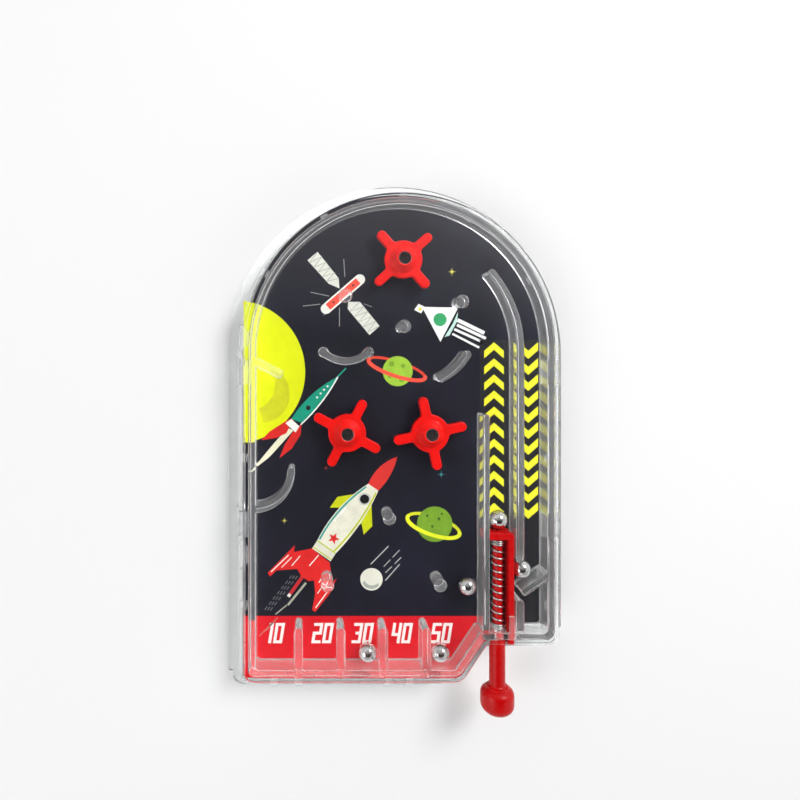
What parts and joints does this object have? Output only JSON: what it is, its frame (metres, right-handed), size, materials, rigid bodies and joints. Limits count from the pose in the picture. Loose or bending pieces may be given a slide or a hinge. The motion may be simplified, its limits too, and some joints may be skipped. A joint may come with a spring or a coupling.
{
  "type": "pocket pinball game",
  "caption": "Hand-held clear-cased pinball game, pachinko style: sprung plunger, steel balls, turning spinners, pins, guards and score pockets over a printed space card.",
  "frame": {"origin": "centre of the casing's arch, on the flat back face", "axes": "+Y to the top of the arch, +X to the plunger's side, +Z out of the window to the player"},
  "size_m": [0.0904, 0.1369, 0.0154],
  "materials": {
    "clear_styrene": "clear, polished moulding",
    "printed_card": "printed, satin",
    "spinner_red": "moulded, satin gloss",
    "plunger_red": "moulded, gloss",
    "spring_steel": "drawn wire, plated",
    "ball_steel": "polished"
  },
  "bodies": {
    "casing": {"back_tray": "clear_styrene", "cover_window": "clear_styrene", "track_wall": "clear_styrene", "shooter_lane_wall": "clear_styrene", "lane_divider": "clear_styrene", "lower_lane_wall": "clear_styrene", "return_ramp": "clear_styrene", "bar_guide": "clear_styrene", "plunger_gland": "clear_styrene", "pocket_divider_1": "clear_styrene", "pocket_divider_2": "clear_styrene", "pocket_divider_3": "clear_styrene", "pocket_divider_4": "clear_styrene", "pin_centre": "clear_styrene", "pin_upper_right": "clear_styrene", "pin_upper_left": "clear_styrene", "pin_lower_centre": "clear_styrene", "pin_lower_left": "clear_styrene", "pin_lower_right": "clear_styrene", "guard_cradle": "clear_styrene", "guard_deflector": "clear_styrene", "guard_hook": "clear_styrene", "guard_stub": "clear_styrene", "spinner_post_top": "clear_styrene", "spinner_post_left": "clear_styrene", "spinner_post_right": "clear_styrene", "playfield_card": "printed_card", "plunger_spring": "spring_steel"},
    "plunger": {"plunger_slider": "plunger_red", "plunger_rod": "plunger_red", "plunger_knob": "plunger_red"},
    "spinner_top": {"spinner_top": "spinner_red"},
    "spinner_left": {"spinner_left": "spinner_red"},
    "spinner_right": {"spinner_right": "spinner_red"},
    "ball_pocket_left": {"ball_pocket_left": "ball_steel"},
    "ball_pocket_right": {"ball_pocket_right": "ball_steel"},
    "ball_field": {"ball_field": "ball_steel"},
    "ball_lane": {"ball_lane": "ball_steel"},
    "ball_return": {"ball_return": "ball_steel"}
  },
  "joints": [
    {"name": "plunger_pull", "type": "slide", "parent": "casing", "child": "plunger", "axis": [0, -1, 0], "range_m": [0, 0.013], "stiffness_N_per_m": 60, "springref_m": -0.003, "deforming": ["plunger_spring"]},
    {"name": "spinner_top_turn", "type": "hinge", "parent": "casing", "child": "spinner_top", "pos_m": [0.0009, 0.023, 0.011], "axis": [0, 0, 1], "continuous": true},
    {"name": "spinner_left_turn", "type": "hinge", "parent": "casing", "child": "spinner_left", "pos_m": [-0.0134, -0.0211, 0.011], "axis": [0, 0, 1], "continuous": true},
    {"name": "spinner_right_turn", "type": "hinge", "parent": "casing", "child": "spinner_right", "pos_m": [0.0077, -0.0212, 0.011], "axis": [0, 0, 1], "continuous": true},
    {"name": "ball_pocket_left_roll", "type": "slide", "parent": "casing", "child": "ball_pocket_left", "axis": [0, 1, 0], "range_m": [0, 0.044]},
    {"name": "ball_pocket_right_roll", "type": "slide", "parent": "casing", "child": "ball_pocket_right", "axis": [0, 1, 0], "range_m": [0, 0.0138]},
    {"name": "ball_field_roll", "type": "slide", "parent": "casing", "child": "ball_field", "axis": [0, 1, 0], "range_m": [-0.0088, 0.031]},
    {"name": "ball_lane_roll", "type": "slide", "parent": "casing", "child": "ball_lane", "axis": [0, 1, 0], "range_m": [0, 0.045]},
    {"name": "ball_return_roll", "type": "slide", "parent": "casing", "child": "ball_return", "axis": [0.8279, 0.5608, 0], "range_m": [0, 0.0031]}
  ]
}
